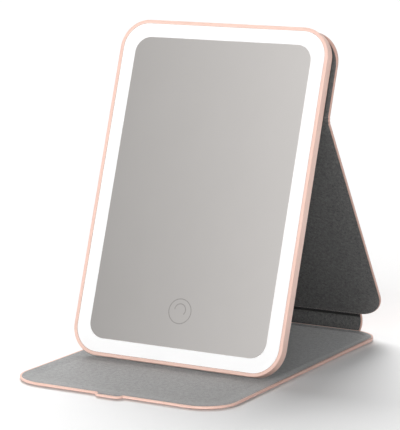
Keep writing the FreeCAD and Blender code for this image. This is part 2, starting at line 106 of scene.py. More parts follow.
# Shared node groups
white = (1, 1, 1, 1)
mixSockets = {"RGBA": (6, 7, 2), "FLOAT": (2, 3, 0)}  # first, second and result of a Mix node, by its data
maskSpread = (0.3, 0.7)      # a noise mask keeps nearly all of its values in here
speckleInputs = {"Broad": 120, "Fine": 2400, "Fineness": 0.5}  # two scales, and the share of the fine one
speckleNoise = {
    "Broad": {"Detail": 3, "Roughness": 0.55},
    "Fine": {"Detail": 2, "Roughness": 0.6},
}
pebbleInputs = {"Scale": 1200, "Warp": 0.0004}
pebbleShape = {
    "bendShare": 0.5,        # scale of the noise that bends the cells, to that of the cells
    "domeReach": 0.28,       # share of a cell over which it rises from the crease
    "clouding": (0.25, 0.75),
    "creaseTone": 0.4,
}


def colourOf(red, green, blue):  # screen values to the linear colour that a socket takes
    def linear(value):
        share = value / 255
        return share / 12.92 if share <= 0.04045 else ((share + 0.055) / 1.055) ** 2.4
    return (linear(red), linear(green), linear(blue), 1)


def addNode(tree, kind, inputs=None, **settings):  # each input is another node's output or a plain value
    node = tree.nodes.new(kind)
    for key, value in settings.items():
        setattr(node, key, value)
    for label, value in (inputs or {}).items():
        if isinstance(value, bpy.types.NodeSocket):
            tree.links.new(value, node.inputs[label])
        else:
            node.inputs[label].default_value = value
    return node


def mathNode(tree, operation, first, second):
    return addNode(tree, "ShaderNodeMath", {0: first, 1: second}, operation=operation).outputs[0]


def mixNode(tree, kind, factor, first, second):
    firstSocket, secondSocket, result = mixSockets[kind]
    inputs = {0: factor, firstSocket: first, secondSocket: second}
    return addNode(tree, "ShaderNodeMix", inputs, data_type=kind).outputs[result]


def rangeNode(tree, value, fromLow, fromHigh, toLow, toHigh):
    inputs = {"Value": value, "From Min": fromLow, "From Max": fromHigh, "To Min": toLow, "To Max": toHigh}
    return addNode(tree, "ShaderNodeMapRange", inputs).outputs["Result"]


def groupOf(name, inputs, outputs):
    group = bpy.data.node_groups.new(name, "ShaderNodeTree")
    for label, value in inputs.items():
        socket = group.interface.new_socket(label, in_out="INPUT", socket_type="NodeSocketFloat")
        socket.default_value = value
    for label in outputs:
        group.interface.new_socket(label, in_out="OUTPUT", socket_type="NodeSocketFloat")
    return group, addNode(group, "NodeGroupInput"), addNode(group, "NodeGroupOutput")


def speckleGroup():  # broad cloudiness and fine grain, as a mask and a height
    group, start, end = groupOf("speckle", speckleInputs, ("Mask", "Height"))
    where = addNode(group, "ShaderNodeTexCoord").outputs["Object"]
    noises = {}
    for label, shape in speckleNoise.items():
        inputs = {"Vector": where, "Scale": start.outputs[label], **shape}
        noises[label] = addNode(group, "ShaderNodeTexNoise", inputs).outputs["Fac"]
    difference = mathNode(group, "SUBTRACT", noises["Fine"], noises["Broad"])
    weighed = mathNode(group, "MULTIPLY", difference, start.outputs["Fineness"])
    group.links.new(mathNode(group, "ADD", noises["Broad"], weighed), end.inputs["Mask"])
    group.links.new(noises["Fine"], end.inputs["Height"])
    return group


def pebbleGroup():  # rounded pebbles with creases between them
    group, start, end = groupOf("pebble", pebbleInputs, ("Crease", "Height"))
    where = addNode(group, "ShaderNodeTexCoord").outputs["Object"]
    scale, warp = start.outputs["Scale"], start.outputs["Warp"]
    bendScale = mathNode(group, "MULTIPLY", scale, pebbleShape["bendShare"])
    bend = addNode(group, "ShaderNodeTexNoise", {"Vector": where, "Scale": bendScale}).outputs["Color"]
    warps = addNode(group, "ShaderNodeCombineXYZ", {0: warp, 1: warp, 2: warp}).outputs[0]
    inputs = {0: bend, 1: warps, 2: where}
    shifted = addNode(group, "ShaderNodeVectorMath", inputs, operation="MULTIPLY_ADD")
    inputs = {"Vector": shifted.outputs[0], "Scale": scale}
    cells = addNode(group, "ShaderNodeTexVoronoi", inputs, feature="DISTANCE_TO_EDGE")
    inputs = {"Value": cells.outputs["Distance"], "From Max": pebbleShape["domeReach"]}
    dome = addNode(group, "ShaderNodeMapRange", inputs, interpolation_type="SMOOTHSTEP").outputs["Result"]
    group.links.new(dome, end.inputs["Height"])
    group.links.new(mathNode(group, "SUBTRACT", 1, dome), end.inputs["Crease"])
    return group


speckle = speckleGroup()
pebble = pebbleGroup()
print("node groups made")

# Finishes: tones in screen values, gloss as roughness, depth of the grain in metres
plainLooks = {
    "foam_tape": {
        "dark": (60, 60, 62), "light": (78, 78, 80), "gloss": (0.9, 0.8), "depth": 0.00004,
        "grain": {"Broad": 300, "Fine": 1800, "Fineness": 0.6},
    },
    "conductive_foam": {
        "dark": (88, 88, 90), "light": (118, 118, 120), "gloss": (0.7, 0.5), "depth": 0.00005,
        "grain": {"Broad": 400, "Fine": 2200, "Fineness": 0.6}, "shader": {"Metallic": 0.6},
    },
    "tray_white": {
        "dark": (228, 228, 226), "light": (238, 238, 236), "gloss": (0.55, 0.45), "depth": 0.00001,
        "grain": {"Broad": 60, "Fine": 2200, "Fineness": 0.4},
    },
    "board_white": {
        "dark": (222, 224, 222), "light": (236, 238, 236), "gloss": (0.45, 0.35), "depth": 0.000008,
        "grain": {"Broad": 150, "Fine": 3200, "Fineness": 0.5},
    },
    "led_chip": {
        "dark": (236, 226, 170), "light": (248, 240, 190), "gloss": (0.4, 0.3), "depth": 0.000008,
        "grain": {"Broad": 900, "Fine": 4000, "Fineness": 0.5},
    },
    "board_green": {
        "dark": (22, 84, 52), "light": (32, 104, 66), "gloss": (0.4, 0.28), "depth": 0.00001,
        "grain": {"Broad": 260, "Fine": 3200, "Fineness": 0.5},
    },
    "chip_black": {
        "dark": (22, 22, 24), "light": (34, 34, 36), "gloss": (0.6, 0.45), "depth": 0.00001,
        "grain": {"Broad": 500, "Fine": 4200, "Fineness": 0.5},
    },
    "cell_foil": {
        "dark": (150, 152, 156), "light": (176, 178, 182), "gloss": (0.42, 0.28), "depth": 0.00004,
        "grain": {"Broad": 140, "Fine": 700, "Fineness": 0.3}, "shader": {"Metallic": 0.8},
    },
    "wire_red": {
        "dark": (160, 24, 22), "light": (188, 36, 32), "gloss": (0.5, 0.4), "depth": 0.00001,
        "grain": {"Broad": 300, "Fine": 3000, "Fineness": 0.4},
    },
    "copper": {
        "dark": (186, 110, 74), "light": (206, 130, 92), "gloss": (0.36, 0.24), "depth": 0.00001,
        "grain": {"Broad": 200, "Fine": 2600, "Fineness": 0.5}, "shader": {"Metallic": 1},
    },
    "port_steel": {
        "dark": (150, 150, 152), "light": (180, 180, 182), "gloss": (0.34, 0.22), "depth": 0.000006,
        "grain": {"Broad": 400, "Fine": 5000, "Fineness": 0.5}, "shader": {"Metallic": 1},
    },
    "screw_steel": {
        "dark": (120, 120, 124), "light": (158, 158, 162), "gloss": (0.4, 0.26), "depth": 0.000006,
        "grain": {"Broad": 700, "Fine": 5000, "Fineness": 0.5}, "shader": {"Metallic": 1},
    },
    "magnet": {
        "dark": (118, 118, 122), "light": (146, 146, 150), "gloss": (0.4, 0.28), "depth": 0.000006,
        "grain": {"Broad": 300, "Fine": 3000, "Fineness": 0.5}, "shader": {"Metallic": 0.9},
    },
    "greyboard": {
        "dark": (122, 120, 116), "light": (146, 144, 140), "gloss": (0.95, 0.85), "depth": 0.00004,
        "grain": {"Broad": 300, "Fine": 1700, "Fineness": 0.6},
    },
}
liningLook = {
    "dark": (14, 14, 14), "light": (122, 122, 121), "gloss": (0.62, 0.4), "depth": 0.00006,
    "grain": {"Broad": 430, "Fine": 1700, "Fineness": 0.5},
    "shader": {"Specular IOR Level": 0.5, "Sheen Roughness": 0.35, "Sheen Weight": 0.88},
}
shadedLiningLook = {                # painted shade: a copy of the lining with less contrast, as the same cloth looks in shade, for the standing panels
    **liningLook, "dark": (44, 44, 44), "light": (114, 114, 113),
    "grain": {"Broad": 560, "Fine": 1700, "Fineness": 0.6},
}
shadeLineLook = {               # painted shade: a dark copy of the lining with little sheen, for the shadow line under the prop panel's low edge
    **shadedLiningLook, "dark": (24, 24, 24), "light": (48, 48, 48),
    "shader": {**shadedLiningLook["shader"], "Sheen Weight": 0.15},
}
leatherLook = {
    "light": (252, 216, 203), "dark": (242, 203, 189), "gloss": (0.62, 0.48), "depth": 0.00006,
    "pebbleScale": 1100, "grain": {"Broad": 70, "Fine": 2600, "Fineness": 0.3},
    "shader": {"Specular IOR Level": 0.4},
}
shadedEdgeLook = {               # painted shade: the leather's edges on the prop, strip and spine, darker in tone than its face
    **leatherLook, "light": (206, 172, 162), "dark": (196, 160, 148),
}
shellLook = {
    "light": (58, 57, 58), "dark": (46, 45, 46), "gloss": (0.66, 0.52), "depth": 0.00002,
    "pebbleScale": 2600, "grain": {"Broad": 80, "Fine": 3000, "Fineness": 0.4}, "shader": {},
}
frameLook = {
    "dark": (240, 203, 189), "light": (244, 208, 195), "gloss": (0.44, 0.36), "depth": 0.000012,
    "corner": (104, 72, 64),  # painted shade: tone where the surface is closed in, within the reach
    "shadeReach": 0.0007, "shadeRange": (0.86, 1), "shadeSamples": 8,
    "grain": {"Broad": 60, "Fine": 2600, "Fineness": 0.4},
    "shader": {"Coat Weight": 0.12, "Coat Roughness": 0.25},
}
silverLook = {
    "dark": (238, 234, 231), "light": (241, 237, 234), "gloss": (0.03, 0.015), "depth": 0.0000001,
    "grain": {"Broad": 14, "Fine": 60, "Fineness": 0.3}, "shader": {"Metallic": 1},
}
opalLook = {
    "dark": (192, 192, 192), "light": (202, 202, 202), "gloss": (0.5, 0.4), "depth": 0.000006,
    "grain": {"Broad": 40, "Fine": 1800, "Fineness": 0.3},
    "shader": {"Emission Color": white, "Emission Strength": 0.44},  # the border is lit
}
etchLook = {
    "dark": (202, 198, 195), "light": (215, 211, 208), "gloss": (0.14, 0.08), "depth": 0.0000002,
    "grain": {"Broad": 600, "Fine": 4200, "Fineness": 0.6}, "shader": {"Metallic": 1},
}


def startFinish(name, sockets):
    material = bpy.data.materials.new(name)
    material.use_nodes = True
    shader = material.node_tree.nodes["Principled BSDF"]
    for label, value in sockets.items():
        shader.inputs[label].default_value = value
    return material, material.node_tree, shader


def stretch(tree, mask, low, high):  # a mask spread over a range of values
    return rangeNode(tree, mask, *maskSpread, low, high)


def addBump(tree, shader, height, depth):
    bump = addNode(tree, "ShaderNodeBump", {"Strength": 1, "Distance": depth, "Height": height})
    tree.links.new(bump.outputs["Normal"], shader.inputs["Normal"])


def grainFinish(name, look):  # the common finish: clouded colour, uneven gloss and a fine grain
    material, tree, shader = startFinish(name, look.get("shader", {}))
    grain = addNode(tree, "ShaderNodeGroup", look["grain"], node_tree=speckle)
    mask = stretch(tree, grain.outputs["Mask"], 0, 1)
    tone = mixNode(tree, "RGBA", mask, colourOf(*look["dark"]), colourOf(*look["light"]))
    tree.links.new(tone, shader.inputs["Base Color"])
    tree.links.new(stretch(tree, grain.outputs["Mask"], *look["gloss"]), shader.inputs["Roughness"])
    addBump(tree, shader, grain.outputs["Height"], look["depth"])
    return material


def pebbleFinish(name, look):  # leather, or moulded plastic with a fine spark texture
    material, tree, shader = startFinish(name, look["shader"])
    cells = addNode(tree, "ShaderNodeGroup", {"Scale": look["pebbleScale"]}, node_tree=pebble)
    grain = addNode(tree, "ShaderNodeGroup", look["grain"], node_tree=speckle)
    clouds = stretch(tree, grain.outputs["Mask"], *pebbleShape["clouding"])
    creases = mathNode(tree, "MULTIPLY", cells.outputs["Crease"], pebbleShape["creaseTone"])
    mask = mathNode(tree, "ADD", clouds, creases)
    tone = mixNode(tree, "RGBA", mask, colourOf(*look["light"]), colourOf(*look["dark"]))
    tree.links.new(tone, shader.inputs["Base Color"])
    tree.links.new(stretch(tree, cells.outputs["Height"], *look["gloss"]), shader.inputs["Roughness"])
    addBump(tree, shader, cells.outputs["Height"], look["depth"])
    return material


def cornerShadeFinish(name, look):  # painted shade: darker in corners, as on the bevel beside the lit border, wherever ambient occlusion finds the surface closed in
    material = grainFinish(name, look)
    tree = material.node_tree
    base = tree.nodes["Principled BSDF"].inputs["Base Color"]
    inputs = {"Distance": look["shadeReach"]}
    # painted shade: the ambient occlusion node darkens the frame's colour where other surfaces lie near
    nearness = addNode(tree, "ShaderNodeAmbientOcclusion", inputs, samples=look["shadeSamples"])
    unshadedShare = rangeNode(tree, nearness.outputs["AO"], *look["shadeRange"], 0, 1)
    tone = mixNode(tree, "RGBA", unshadedShare, colourOf(*look["corner"]), base.links[0].from_socket)
    tree.links.new(tone, base)
    return material


finishes = {slot: grainFinish(slot, look) for slot, look in plainLooks.items()}
finishes["lining_grey"] = grainFinish("lining_grey", liningLook)
finishes["leather_pink"] = pebbleFinish("leather_pink", leatherLook)
finishes["shell_charcoal"] = pebbleFinish("shell_charcoal", shellLook)
finishes["silvered_glass"] = grainFinish("silvered_glass", silverLook)
finishes["frame_pink"] = cornerShadeFinish("frame_pink", frameLook)
finishes["opal"] = grainFinish("opal", opalLook)
smooth = grainFinish("lining_shaded", shadedLiningLook)
shadeLineLining = grainFinish("lining_shade_line", shadeLineLook)
shadedEdge = pebbleFinish("leather_shaded_edge", shadedEdgeLook)
etched = grainFinish("etched_mark", etchLook)

for row in frame["record"]["subparts"]:
    solid = nodes[row["node"]]
    if not solid.material_slots:
        solid.data.materials.append(None)
    for holder in solid.material_slots:
        holder.material = finishes[row["material_slot"]]
print("finishes made for", len(finishes), "slots")

# Mesh helpers
meshing = {
    "weld": 1e-7,            # points nearer than this become one
    "sharpAngle": 38,        # degrees
}


def arcPoints(centre, radii, start, sweep, steps):
    points = []
    for step in range(steps + 1):
        angle = math.radians(start + sweep * step / steps)
        points.append((centre[0] + radii[0] * math.cos(angle), centre[1] + radii[1] * math.sin(angle)))
    return points


def facesBetween(bm, first, second):  # a closed row of faces from one loop to the next
    faces = []
    for index in range(len(first)):
        after = (index + 1) % len(first)
        faces.append(bm.faces.new((first[index], first[after], second[after], second[index])))
    return faces


def finishMesh(name, bm, materials):
    bmesh.ops.remove_doubles(bm, verts=bm.verts, dist=meshing["weld"])
    bmesh.ops.recalc_face_normals(bm, faces=bm.faces)
    for face in bm.faces:
        face.smooth = True
    mesh = bpy.data.meshes.new(name)
    bm.to_mesh(mesh)
    bm.free()
    mesh.set_sharp_from_angle(angle=math.radians(meshing["sharpAngle"]))
    for material in materials:
        mesh.materials.append(material)
    piece = bpy.data.objects.new(name, mesh)
    scene.collection.objects.link(piece)
    return piece


def ringSolid(name, rings, materials, edgeFrom=math.inf):  # closed solid through loops of equal counts
    bm = bmesh.new()
    loops = [[bm.verts.new(point) for point in ring] for ring in rings]
    for number, (inner, outer) in enumerate(zip(loops, loops[1:])):
        for face in facesBetween(bm, inner, outer):
            face.material_index = int(number >= edgeFrom)
    bm.faces.new(loops[0])
    bm.faces.new(loops[-1])
    return finishMesh(name, bm, materials)


# Cover panels: a rounded leather edge round a soft lining
cover = {
    "corner": 0.019,
    "baseFrontCorner": 0.023,
    "stripTopCorner": 0.0207,
    "stripCornerCut": 0.0026,  # the strip's lining is cut rounder by this, so that more leather shows there
    "foldCorner": 0.0004,    # corner at a fold, nearly square
    "leastCorner": 0.0001,
    "foldShare": 0.1,        # how much of the leather edge shows along a fold
    "boardMargin": 0.0008,   # stiff board to the panel's edge
    "cornerSteps": 18,
    "tabWidth": 0.018,
    "tabCorner": 0.0034,
    "tabLeastCorner": 0.0002,
    "tabRoot": 0.0005,       # round where the tab leaves the edge
    "tabSteps": 6,
}
edge = {
    "under": 0.00035,        # half of the leather, below the fold line
    "lowRound": 0.0004,
    "lowSteps": 6,
    "lowLift": 0.0004,       # how far the back is drawn in at the edge
    "lowReach": 0.003,
    "baseLift": 0.0009,
    "topRound": 0.0005,
    "topSteps": 7,
    "border": 0.0007,        # leather that shows round the lining
    "baseBorder": 0.0012,
    "baseRise": (0.0003, 0.0013),  # the base's edge turns up, more at the rear
    "rampReach": 0.012,      # how far in from the edge that rise begins
    "innerRound": 0.00015,
    "innerSteps": 4,
    "shadedEdgeFrom": 2,            # row of the profile from which the prop and the strip show their edge in painted shade
    "sink": 0.0006,          # how deep leather and lining reach behind each other
}
pad = {
    "gap": 0.00003,
    "round": 0.0003,
    "roundSteps": 5,
    "lineInset": 0.0026,     # pressed line, parallel to the edge
    "lineHalf": 0.00045,
    "lineDepth": 0.00004,
    "lineSteps": 4,
    "inside": 0.006,
    "rampSteps": 4,
}
hem = {
    "radius": 0.001,         # the lining turned round the prop panel's low edge
    "tuckShare": 0.8,        # share of it by which the panel's own edge lies further in
    "setBack": 0.0005,       # and this much more
    "edgeShare": 0.02,       # leather that shows there: the lining runs on to the hem
    "skin": 0.0003,
    "steps": 14,
}
liningTop = spanIn(basePlace, "base_lining")[1].z


def panelOf(place, board, body, openLow, openHigh):  # an open end runs on into a fold
    low, high = spanIn(place, board)
    margin = cover["boardMargin"]
    return {
        "place": place,
        "body": body,
        "half": high.x + margin,
        "low": low.y - (0 if openLow else margin),
        "high": high.y + (0 if openHigh else margin),
        "lowCorner": cover["foldCorner"] if openLow else cover["corner"],
        "highCorner": cover["foldCorner"] if openHigh else cover["corner"],
        "lowShare": cover["foldShare"] if openLow else 1,
        "highShare": cover["foldShare"] if openHigh else 1,
        "cornerCut": 0,
        "border": edge["border"],
        "lift": edge["lowLift"],
        "rise": (0, 0),
        "tabReach": 0,
        "edgeFrom": edge["shadedEdgeFrom"],
        # the standing panels take the lining's shaded copy, painted shade
        "lining": smooth,
    }


def tabPoints(panel, inset):  # left half of the pull tab, from the edge out to its front
    half, root, steps = cover["tabWidth"] / 2, cover["tabRoot"], cover["tabSteps"]
    border = panel["border"]
    flat = min(max((inset - border) / (pad["lineInset"] - pad["lineHalf"] - border), 0), 1)
    corner = max(cover["tabCorner"] - inset, cover["tabLeastCorner"])
    leaving = arcPoints((-half - root, 0), (root + inset, 1), 90, -90, steps)
    turning = arcPoints((-half + inset + corner, 0), (corner, 1), 180, 90, steps)
    drops = [(x, (root + inset) * (1 - height)) for x, height in leaving]
    drops += [(x, panel["tabReach"] - corner * (1 + height)) for x, height in turning]
    return [(x, panel["low"] + inset - drop * (1 - flat)) for x, drop in drops]


def panelOutline(panel, inset):  # anticlockwise from the low right corner, seen from the lining
    steps, least = cover["cornerSteps"], cover["leastCorner"]
    side = panel["half"] - inset
    low = panel["low"] + inset * panel["lowShare"]
    high = panel["high"] - inset * panel["highShare"]
    highCorner = panel["highCorner"] + panel["cornerCut"] * min(inset / panel["border"], 1)
    lowX, lowY = panel["half"] - panel["lowCorner"], panel["low"] + panel["lowCorner"]
    highX, highY = panel["half"] - highCorner, panel["high"] - highCorner
    if panel["lowCorner"] < inset:
        lowX, lowY = side - least, low + least
    if panel["highCorner"] < inset:
        highX, highY = side - least, high - least
    lowRadii = (side - lowX, lowY - low)
    highRadii = (side - highX, high - highY)
    points = arcPoints((lowX, lowY), lowRadii, -90, 90, steps)
    points += arcPoints((highX, highY), highRadii, 0, 90, steps)
    points += arcPoints((-highX, highY), highRadii, 90, 90, steps)
    points += arcPoints((-lowX, lowY), lowRadii, 180, 90, steps)
    if panel["tabReach"]:
        left = tabPoints(panel, inset)
        points += left + [(-x, y) for x, y in reversed(left)]
    return points


def smoothShare(share):
    share = min(share, 1)
    return share * share * (3 - 2 * share)


def riseAt(panel, y):  # how far the edge is turned up, from the front to the rear
    front, rear = panel["rise"]
    return front + (rear - front) * (y - panel["low"]) / (panel["high"] - panel["low"])


def panelRings(panel, profile):  # rows of inset, level and share of the rise
    rings = []
    for inset, level, share in profile:
        outline = panelOutline(panel, inset)
        rings.append([panel["place"] @ Vector((x, y, level + share * riseAt(panel, y))) for x, y in outline])
    return rings


def leatherProfile(panel):
    border, level, back = panel["border"], liningTop, -edge["under"]
    low, top, inner = edge["lowRound"], edge["topRound"], edge["innerRound"]
    under = [(pad["inside"], back), (edge["lowReach"], back)]
    under += arcPoints((low, low + panel["lift"] + back), (low, low), 270, -90, edge["lowSteps"])
    over = arcPoints((top, level - top), (top, top), 180, -90, edge["topSteps"])
    over += arcPoints((border - inner, level - inner), (inner, inner), 90, -90, edge["innerSteps"])
    profile = [(inset, height, 0) for inset, height in under]
    profile += [(inset, height, 1) for inset, height in over]
    return profile + [(border, level - edge["sink"], 0)]


def liningProfile(panel):
    start, bend, steps = panel["border"] + pad["gap"], pad["round"], pad["lineSteps"]
    profile = [(start, liningTop - edge["sink"])]
    profile += arcPoints((start + bend, liningTop - bend), (bend, bend), 180, -90, pad["roundSteps"])
    for step in range(-steps, steps + 1):
        share = step / steps
        dip = (1 + math.cos(math.pi * share)) / 2
        profile.append((pad["lineInset"] + pad["lineHalf"] * share, liningTop - pad["lineDepth"] * dip))
    profile.append((2 * pad["lineInset"] - start, liningTop))
    for step in range(pad["rampSteps"] + 1):
        share = step / pad["rampSteps"]
        profile.append((pad["inside"] * (1 - share) + edge["rampReach"] * share, liningTop))
    return [(inset, level, 1 - smoothShare(inset / edge["rampReach"])) for inset, level in profile]


basePanel = panelOf(basePlace, "base_stiffener", "base", False, False)
propPanel = panelOf(propPlace, "prop_stiffener", "prop", False, True)
stripPanel = panelOf(stripPlace, "strip_stiffener", "mirror", True, False)
basePanel.update(lowCorner=cover["baseFrontCorner"], border=edge["baseBorder"], rise=edge["baseRise"])
basePanel.update(lift=edge["baseLift"], edgeFrom=math.inf, lining=finishes["lining_grey"])
basePanel["tabReach"] = basePanel["low"] - spanIn(basePlace, "base_leather")[0].y
propPanel["lowShare"] = hem["edgeShare"]
propPanel["low"] += hem["radius"] * hem["tuckShare"] + hem["setBack"]
stripPanel.update(highCorner=cover["stripTopCorner"], cornerCut=cover["stripCornerCut"])
panels = {"base": basePanel, "prop": propPanel, "strip": stripPanel}

for label, panel in panels.items():
    leathers = [finishes["leather_pink"], shadedEdge]
    skin = ringSolid(label + "Leather", panelRings(panel, leatherProfile(panel)), leathers, panel["edgeFrom"])
    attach(skin, panel["body"])
    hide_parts(label + "_leather")
    cloth = ringSolid(label + "Lining", panelRings(panel, liningProfile(panel)), [panel["lining"]])
    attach(cloth, panel["body"])
    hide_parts(label + "_lining")
print("panels made:", ", ".join(panels))

# Folds and spine: thin leather with lining on its inner side
band = {
    "skin": 0.00035,         # leather below and above the fold line
    "face": 0.00095,         # lining above the fold line, where no board lies between
    "gap": 0.0016,           # fold line to the board's edge
    "proud": 0.00002,
    "edgeRound": 0.0003,
    "endRows": ((0, 0.6), (0.3, 0.88), (1, 1)),  # share of the rounding, and of the thickness there
    "turnSteps": 10,
    "bowSteps": 16,
    "blendReach": 0.0011,    # to each side of the crease
}
lap = {                      # the fold's lining, carried on over a board's edge
    "reach": 0.0012,
    "flatShare": 0.25,       # of the gap, where the flat lining begins
    "climbFrom": 0.0005,     # before the board's edge
    "foot": (0.00032, 0.0001),  # before that edge, and above the flat lining
    "climb": ((0.00024, 0.0004), (0.00016, 0.00015)),  # before that edge, and below the top
    "brow": 0.00003,         # below the top, over that edge
    "thinning": 0.00002,     # of the leather under the brow
    "shoulder": 0.0003,      # past that edge, where the lap lies flat
    "tuck": 0.0005,          # depth in the panel's lining
    "tip": (0.0001, 0.0002),  # past the lap's end, and below the lining
}
spine = {
    "inset": 0.0005,         # drawn in at each end
    "round": 0.0009,
    "middleShare": 0.68,     # where its two halves meet, along it
    "middleBow": 1.1,        # and how far out, to the solid's bow
    "handleShare": 0.3,      # how far each bend reaches, to the spine's length
    "rootGap": 0.00003,      # to the base's board
    "rootLevel": 0.0009,
    "rootBacks": (0.0006, 0.00006),
    "rootSkin": (0.9, 0.5),  # shares of the leather below and above the root
    "leaveSlope": 0.7,
    "rimDrop": 0.0016,       # behind the prop panel's low edge
    "tongue": 0.0034,        # part that lies on the prop panel's back
    "tongueLevels": (0.0009, 0.0002),
    "shadeLineDrop": 0.0001,   # the painted shadow line under the prop panel begins this far below its fold
    "lowBlend": (0.0014, 0.0028),  # before and after the base's fold
    "highBlend": (0.0024, 0.0009),  # before and after the prop's fold
}
spineSpan = (propHinge - baseHinge).length
spineHalf = spanIn(spinePlace, "spine_leather")[1].x - spine["inset"]
spineBow = -spanIn(spinePlace, "spine_leather")[0].z - band["skin"]
spineMiddle = spinePlace @ Vector((0, spine["middleShare"] * spineSpan, -spine["middleBow"] * spineBow))


def bandPiece(name, pairs, half, edgeRound, shadeLineFrom=math.inf):  # a strip through outer and inner points
    stations = [(-half + edgeRound * share, scale) for share, scale in band["endRows"]]
    stations += [(-x, scale) for x, scale in reversed(stations)]
    middle, count = len(band["endRows"]) - 1, len(pairs)
    around = pairs + [(inner, outer) for outer, inner in reversed(pairs)]
    coats = [finishes["leather_pink"], smooth, shadeLineLining, shadedEdge]
    bm = bmesh.new()
    loops = []
    for x, scale in stations:
        loop = []
        for point, opposite in around:
            centre = (point + opposite) / 2
            loop.append(bm.verts.new(toRight * x + centre + (point - centre) * scale))
        loops.append(loop)
    for number, (first, second) in enumerate(zip(loops, loops[1:])):
        for index, face in enumerate(facesBetween(bm, first, second)):
            # painted shade on the band's side edges and ends
            if number != middle:
                finish = shadedEdge
            elif not count <= index < 2 * count - 1:
                finish = finishes["leather_pink"]
            # painted shade: the lining's faces above that height, under the prop panel's edge, take the dark copy
            elif face.calc_center_median().z > shadeLineFrom:
                finish = shadeLineLining
            else:
                finish = smooth
            face.material_index = coats.index(finish)
    for loop in (loops[0], loops[-1]):
        bm.faces.new(loop).material_index = coats.index(shadedEdge)
    return finishMesh(name, bm, coats)


def lapPairs(hinge, along, out):  # outer and inner points from a fold line on to a panel
    board, back, face = band["gap"], -band["skin"], band["face"]
    top, tuck, end = liningTop + band["proud"], liningTop - lap["tuck"], board + lap["reach"]
    footReach, footRise = lap["foot"]
    tipReach, tipDepth = lap["tip"]
    rows = [(lap["flatShare"] * board, back, face), (board - lap["climbFrom"], back, face)]
    rows += [(board - footReach, back, face + footRise)]
    rows += [(board - reach, back, top - depth) for reach, depth in lap["climb"]]
    rows += [(board, back + lap["thinning"], top - lap["brow"])]
    rows += [(board + lap["shoulder"], tuck, top), (end, tuck, top)]
    rows += [(end + tipReach, tuck, liningTop - tipDepth)]
    pairs = []
    for reach, low, high in rows:
        foot = hinge + along * reach
        pairs.append((foot + out * low, foot + out * high))
    return pairs


def creasePairs():
    valley = (stripOut + propOut).normalized() * band["skin"] / math.cos(stripOut.angle(propOut) / 2)
    pairs = list(reversed(lapPairs(creaseHinge, mirrorUp, stripOut)))
    for step in range(band["turnSteps"] + 1):
        out = stripOut.slerp(propOut, step / band["turnSteps"])
        pairs.append((creaseHinge - valley, creaseHinge + out * band["face"]))
    return pairs + lapPairs(creaseHinge, -propUp, propOut)


def bowPairs(start, startAlong, finish, finishAlong):  # a smooth bend of the leather's middle line
    bow = spine["handleShare"] * spineSpan
    startHandle = start + startAlong * bow
    finishHandle = finish - finishAlong * bow
    pairs = []
    for step in range(band["bowSteps"] + 1):
        share = step / band["bowSteps"]
        middle = startHandle.lerp(finishHandle, share)
        before = start.lerp(startHandle, share).lerp(middle, share)
        after = middle.lerp(finishHandle.lerp(finish, share), share)
        point = before.lerp(after, share)
        out = toRight.cross((after - before).normalized())
        pairs.append((point - out * band["skin"], point + out * band["face"]))
    return pairs


def lowerSpinePairs():
    rear = baseHinge - toRear * (band["gap"] - spine["rootGap"]) + upward * spine["rootLevel"]
    below, above = (upward * band["skin"] * share for share in spine["rootSkin"])
    root = [(rear - toRear * back - below, rear - toRear * back + above) for back in spine["rootBacks"]]
    return root + bowPairs(rear, (toRear * spine["leaveSlope"] + upward).normalized(), spineMiddle, spineUp)


def upperSpinePairs():
    rim = propHinge + propUp * propPanel["low"]
    tongue = tuple(rim + propUp * spine["tongue"] - propOut * level for level in spine["tongueLevels"])
    return bowPairs(spineMiddle, spineUp, rim - propOut * spine["rimDrop"], propUp) + [tongue]


def hemPairs():
    radius = hem["radius"]
    centre = propHinge + propUp * (propPanel["low"] + radius * (1 - hem["tuckShare"]))
    centre = centre + propOut * (liningTop + band["proud"] - radius)
    pairs = []
    for step in range(hem["steps"] + 1):
        angle = math.pi * step / hem["steps"]
        ray = propOut * math.cos(angle) - propUp * math.sin(angle)
        pairs.append((centre + ray * (radius - hem["skin"]), centre + ray * radius))
    return pairs


propHem = bandPiece("propHem", hemPairs(), spineHalf, band["edgeRound"])
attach(propHem, "prop")

creaseFold = bandPiece("creaseFold", creasePairs(), propPanel["half"], edge["border"])
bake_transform(creaseFold)
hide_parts("crease_fold")

lowerSpine = bandPiece("lowerSpine", lowerSpinePairs(), spineHalf, spine["round"])
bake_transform(lowerSpine)
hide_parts("base_fold", "spine_leather", "spine_lining")

# painted shadow line on the upper spine, under the prop panel
shadeLineFrom = propHinge.z - spine["shadeLineDrop"]
upperSpine = bandPiece("upperSpine", upperSpinePairs(), spineHalf, spine["round"], shadeLineFrom)
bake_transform(upperSpine)
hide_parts("prop_fold")

print("folds made")

# Touch key: a fine dished ring with an open arc inside it
touchMark = {
    "ringRadius": 0.0078,
    "arcRadius": 0.0038,
    "arcLift": 0.0009,
    "line": 0.0007,
    "proud": 0.000003,
    "dish": 0.000008,        # how far the line's middle lies below its sides
    "arcFrom": -45,          # degrees, anticlockwise from the right
    "arcSweep": 225,
    "steps": 96,
    "dishSteps": 6,
    "endSteps": 2,           # over which an open line narrows
    "endWidth": 0.3,         # share of the line that is left at its end
}
glassFront = spanIn(mirrorPlace, "mirror_glass")[1].z
touchLow, touchHigh = spanIn(mirrorPlace, "touch_electrode")
touchCentre = (touchLow + touchHigh) / 2


